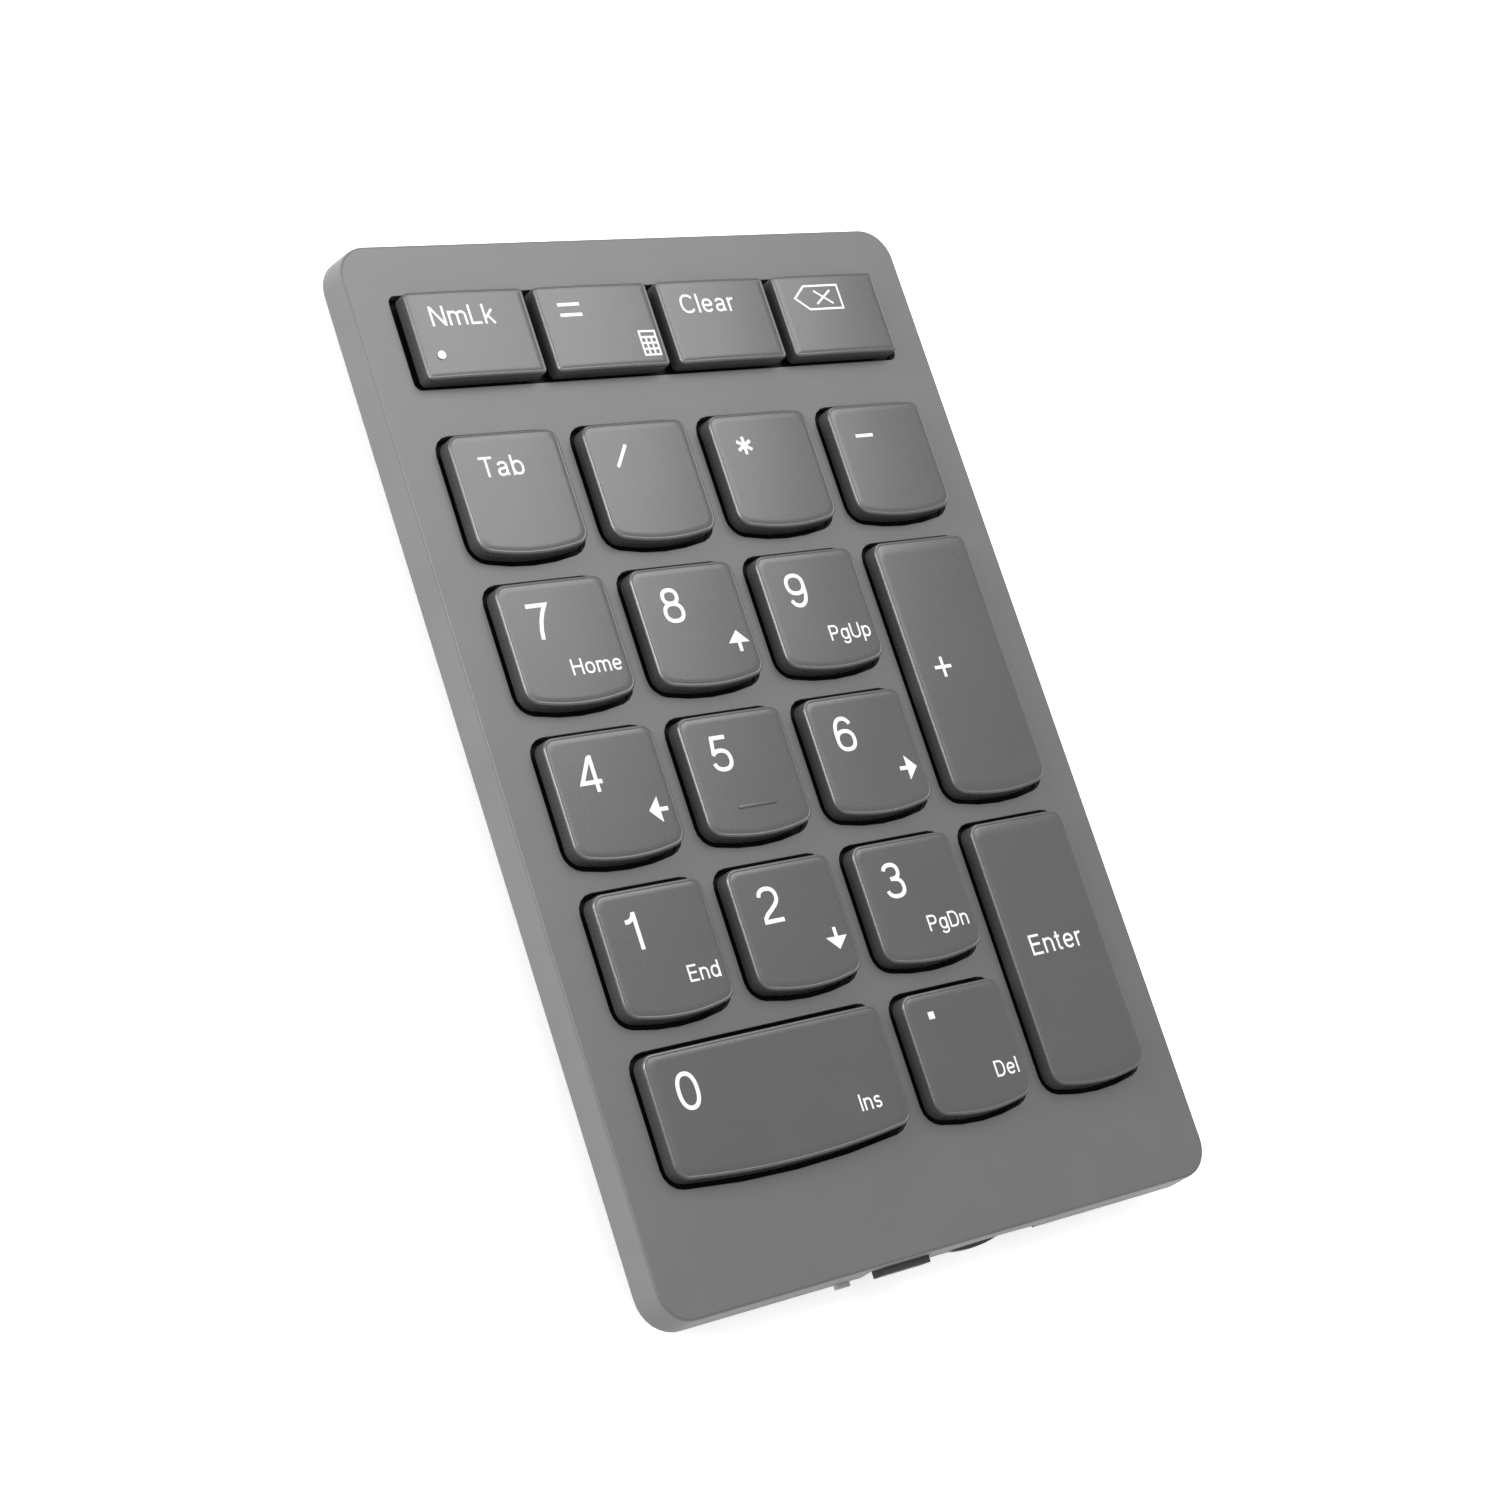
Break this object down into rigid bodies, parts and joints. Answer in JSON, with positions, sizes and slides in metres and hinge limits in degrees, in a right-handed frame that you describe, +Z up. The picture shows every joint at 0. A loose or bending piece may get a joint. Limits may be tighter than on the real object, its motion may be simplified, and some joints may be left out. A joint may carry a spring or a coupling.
{
  "type": "numeric keypad",
  "caption": "Slim wireless numeric keypad: flat grey case, low-profile bowed keycaps on scissor supports, front power switch and stowed USB receiver.",
  "frame": {"origin": "middle of the bounding box at desk level, under the case", "axes": "+X to the user's right, +Y away from the user towards the NmLk row, +Z up out of the key tops"},
  "size_m": [0.0856, 0.1328, 0.0113],
  "materials": {
    "case_plastic": "satin fine-grained moulded plastic, mid grey",
    "key_plastic": "satin moulded plastic, mid grey a little darker than the case",
    "bottom_plastic": "fine spark-textured moulded plastic, dark grey",
    "black_plastic": "satin moulded plastic, black",
    "receiver_plastic": "satin moulded plastic, very dark grey",
    "white_plastic": "natural white acetal",
    "light_lens": "milky clear light guide",
    "steel": "plated sheet and wire",
    "plug_steel": "bright nickel-plated sheet",
    "membrane_film": "printed polyester film",
    "silicone_rubber": "black silicone",
    "circuit_board": "green solder mask",
    "battery_foil": "silver foil pouch",
    "foot_rubber": "matt black elastomer"
  },
  "bodies": {
    "case": {"top_case": "case_plastic", "bottom_case": "bottom_plastic", "key_support_plate": "steel", "membrane_sheet": "membrane_film", "rubber_dome_sheet": "silicone_rubber", "main_board": "circuit_board", "battery": "battery_foil", "usb_c_socket": "steel", "foot_front": "foot_rubber", "foot_rear": "foot_rubber", "scissor_num_lock": "white_plastic", "scissor_equals": "white_plastic", "scissor_clear": "white_plastic", "scissor_backspace": "white_plastic", "scissor_tab": "white_plastic", "scissor_divide": "white_plastic", "scissor_multiply": "white_plastic", "scissor_minus": "white_plastic", "scissor_7": "white_plastic", "scissor_8": "white_plastic", "scissor_9": "white_plastic", "scissor_plus": "white_plastic", "scissor_4": "white_plastic", "scissor_5": "white_plastic", "scissor_6": "white_plastic", "scissor_1": "white_plastic", "scissor_2": "white_plastic", "scissor_3": "white_plastic", "scissor_enter": "white_plastic", "scissor_0": "white_plastic", "scissor_decimal": "white_plastic"},
    "keycap_num_lock": {"key_num_lock": "key_plastic", "num_lock_lens": "light_lens"},
    "keycap_equals": {"key_equals": "key_plastic"},
    "keycap_clear": {"key_clear": "key_plastic"},
    "keycap_backspace": {"key_backspace": "key_plastic"},
    "keycap_tab": {"key_tab": "key_plastic"},
    "keycap_divide": {"key_divide": "key_plastic"},
    "keycap_multiply": {"key_multiply": "key_plastic"},
    "keycap_minus": {"key_minus": "key_plastic"},
    "keycap_7": {"key_7": "key_plastic"},
    "keycap_8": {"key_8": "key_plastic"},
    "keycap_9": {"key_9": "key_plastic"},
    "keycap_plus": {"key_plus": "key_plastic"},
    "keycap_4": {"key_4": "key_plastic"},
    "keycap_5": {"key_5": "key_plastic"},
    "keycap_6": {"key_6": "key_plastic"},
    "keycap_1": {"key_1": "key_plastic"},
    "keycap_2": {"key_2": "key_plastic"},
    "keycap_3": {"key_3": "key_plastic"},
    "keycap_enter": {"key_enter": "key_plastic"},
    "keycap_0": {"key_0": "key_plastic"},
    "keycap_decimal": {"key_decimal": "key_plastic"},
    "stabiliser_bar_0": {"stabiliser_0": "steel"},
    "stabiliser_bar_plus": {"stabiliser_plus": "steel"},
    "stabiliser_bar_enter": {"stabiliser_enter": "steel"},
    "power_switch": {"power_switch_slider": "black_plastic"},
    "receiver": {"receiver_shell": "plug_steel", "receiver_body": "receiver_plastic", "receiver_tongue": "black_plastic"}
  },
  "joints": [
    {"name": "press_num_lock", "type": "slide", "parent": "case", "child": "keycap_num_lock", "axis": [0, 0, -1], "range_m": [0, 0.0015], "stiffness_N_per_m": 200, "springref_m": -0.0015, "deforming": ["scissor_num_lock", "rubber_dome_sheet"]},
    {"name": "press_equals", "type": "slide", "parent": "case", "child": "keycap_equals", "axis": [0, 0, -1], "range_m": [0, 0.0015], "stiffness_N_per_m": 200, "springref_m": -0.0015, "deforming": ["scissor_equals", "rubber_dome_sheet"]},
    {"name": "press_clear", "type": "slide", "parent": "case", "child": "keycap_clear", "axis": [0, 0, -1], "range_m": [0, 0.0015], "stiffness_N_per_m": 200, "springref_m": -0.0015, "deforming": ["scissor_clear", "rubber_dome_sheet"]},
    {"name": "press_backspace", "type": "slide", "parent": "case", "child": "keycap_backspace", "axis": [0, 0, -1], "range_m": [0, 0.0015], "stiffness_N_per_m": 200, "springref_m": -0.0015, "deforming": ["scissor_backspace", "rubber_dome_sheet"]},
    {"name": "press_tab", "type": "slide", "parent": "case", "child": "keycap_tab", "axis": [0, 0, -1], "range_m": [0, 0.0015], "stiffness_N_per_m": 200, "springref_m": -0.0015, "deforming": ["scissor_tab", "rubber_dome_sheet"]},
    {"name": "press_divide", "type": "slide", "parent": "case", "child": "keycap_divide", "axis": [0, 0, -1], "range_m": [0, 0.0015], "stiffness_N_per_m": 200, "springref_m": -0.0015, "deforming": ["scissor_divide", "rubber_dome_sheet"]},
    {"name": "press_multiply", "type": "slide", "parent": "case", "child": "keycap_multiply", "axis": [0, 0, -1], "range_m": [0, 0.0015], "stiffness_N_per_m": 200, "springref_m": -0.0015, "deforming": ["scissor_multiply", "rubber_dome_sheet"]},
    {"name": "press_minus", "type": "slide", "parent": "case", "child": "keycap_minus", "axis": [0, 0, -1], "range_m": [0, 0.0015], "stiffness_N_per_m": 200, "springref_m": -0.0015, "deforming": ["scissor_minus", "rubber_dome_sheet"]},
    {"name": "press_7", "type": "slide", "parent": "case", "child": "keycap_7", "axis": [0, 0, -1], "range_m": [0, 0.0015], "stiffness_N_per_m": 200, "springref_m": -0.0015, "deforming": ["scissor_7", "rubber_dome_sheet"]},
    {"name": "press_8", "type": "slide", "parent": "case", "child": "keycap_8", "axis": [0, 0, -1], "range_m": [0, 0.0015], "stiffness_N_per_m": 200, "springref_m": -0.0015, "deforming": ["scissor_8", "rubber_dome_sheet"]},
    {"name": "press_9", "type": "slide", "parent": "case", "child": "keycap_9", "axis": [0, 0, -1], "range_m": [0, 0.0015], "stiffness_N_per_m": 200, "springref_m": -0.0015, "deforming": ["scissor_9", "rubber_dome_sheet"]},
    {"name": "press_plus", "type": "slide", "parent": "case", "child": "keycap_plus", "axis": [0, 0, -1], "range_m": [0, 0.0015], "stiffness_N_per_m": 200, "springref_m": -0.0015, "deforming": ["scissor_plus", "rubber_dome_sheet"]},
    {"name": "press_4", "type": "slide", "parent": "case", "child": "keycap_4", "axis": [0, 0, -1], "range_m": [0, 0.0015], "stiffness_N_per_m": 200, "springref_m": -0.0015, "deforming": ["scissor_4", "rubber_dome_sheet"]},
    {"name": "press_5", "type": "slide", "parent": "case", "child": "keycap_5", "axis": [0, 0, -1], "range_m": [0, 0.0015], "stiffness_N_per_m": 200, "springref_m": -0.0015, "deforming": ["scissor_5", "rubber_dome_sheet"]},
    {"name": "press_6", "type": "slide", "parent": "case", "child": "keycap_6", "axis": [0, 0, -1], "range_m": [0, 0.0015], "stiffness_N_per_m": 200, "springref_m": -0.0015, "deforming": ["scissor_6", "rubber_dome_sheet"]},
    {"name": "press_1", "type": "slide", "parent": "case", "child": "keycap_1", "axis": [0, 0, -1], "range_m": [0, 0.0015], "stiffness_N_per_m": 200, "springref_m": -0.0015, "deforming": ["scissor_1", "rubber_dome_sheet"]},
    {"name": "press_2", "type": "slide", "parent": "case", "child": "keycap_2", "axis": [0, 0, -1], "range_m": [0, 0.0015], "stiffness_N_per_m": 200, "springref_m": -0.0015, "deforming": ["scissor_2", "rubber_dome_sheet"]},
    {"name": "press_3", "type": "slide", "parent": "case", "child": "keycap_3", "axis": [0, 0, -1], "range_m": [0, 0.0015], "stiffness_N_per_m": 200, "springref_m": -0.0015, "deforming": ["scissor_3", "rubber_dome_sheet"]},
    {"name": "press_enter", "type": "slide", "parent": "case", "child": "keycap_enter", "axis": [0, 0, -1], "range_m": [0, 0.0015], "stiffness_N_per_m": 200, "springref_m": -0.0015, "deforming": ["scissor_enter", "rubber_dome_sheet"]},
    {"name": "press_0", "type": "slide", "parent": "case", "child": "keycap_0", "axis": [0, 0, -1], "range_m": [0, 0.0015], "stiffness_N_per_m": 200, "springref_m": -0.0015, "deforming": ["scissor_0", "rubber_dome_sheet"]},
    {"name": "press_decimal", "type": "slide", "parent": "case", "child": "keycap_decimal", "axis": [0, 0, -1], "range_m": [0, 0.0015], "stiffness_N_per_m": 200, "springref_m": -0.0015, "deforming": ["scissor_decimal", "rubber_dome_sheet"]},
    {"name": "stabiliser_0_tilt", "type": "hinge", "parent": "case", "child": "stabiliser_bar_0", "pos_m": [-0.01905, -0.04351, 0.00785], "axis": [-1, 0, 0], "range_deg": [0, 14.66]},
    {"name": "stabiliser_plus_tilt", "type": "hinge", "parent": "case", "child": "stabiliser_bar_plus", "pos_m": [0.02877, 0.00392, 0.00785], "axis": [0, 1, 0], "range_deg": [0, 14.66]},
    {"name": "stabiliser_enter_tilt", "type": "hinge", "parent": "case", "child": "stabiliser_bar_enter", "pos_m": [0.02877, -0.03417, 0.00785], "axis": [0, 1, 0], "range_deg": [0, 14.66]},
    {"name": "power_switch_slide", "type": "slide", "parent": "case", "child": "power_switch", "axis": [-1, 0, 0], "range_m": [0, 0.0015]},
    {"name": "receiver_slide", "type": "slide", "parent": "case", "child": "receiver", "axis": [0, -1, 0], "range_m": [0, 0.018]}
  ],
  "couplings": [
    {"joint": "stabiliser_0_tilt", "follows": "press_0", "rad_per_m": 170.05},
    {"joint": "stabiliser_plus_tilt", "follows": "press_plus", "rad_per_m": 170.05},
    {"joint": "stabiliser_enter_tilt", "follows": "press_enter", "rad_per_m": 170.05}
  ]
}
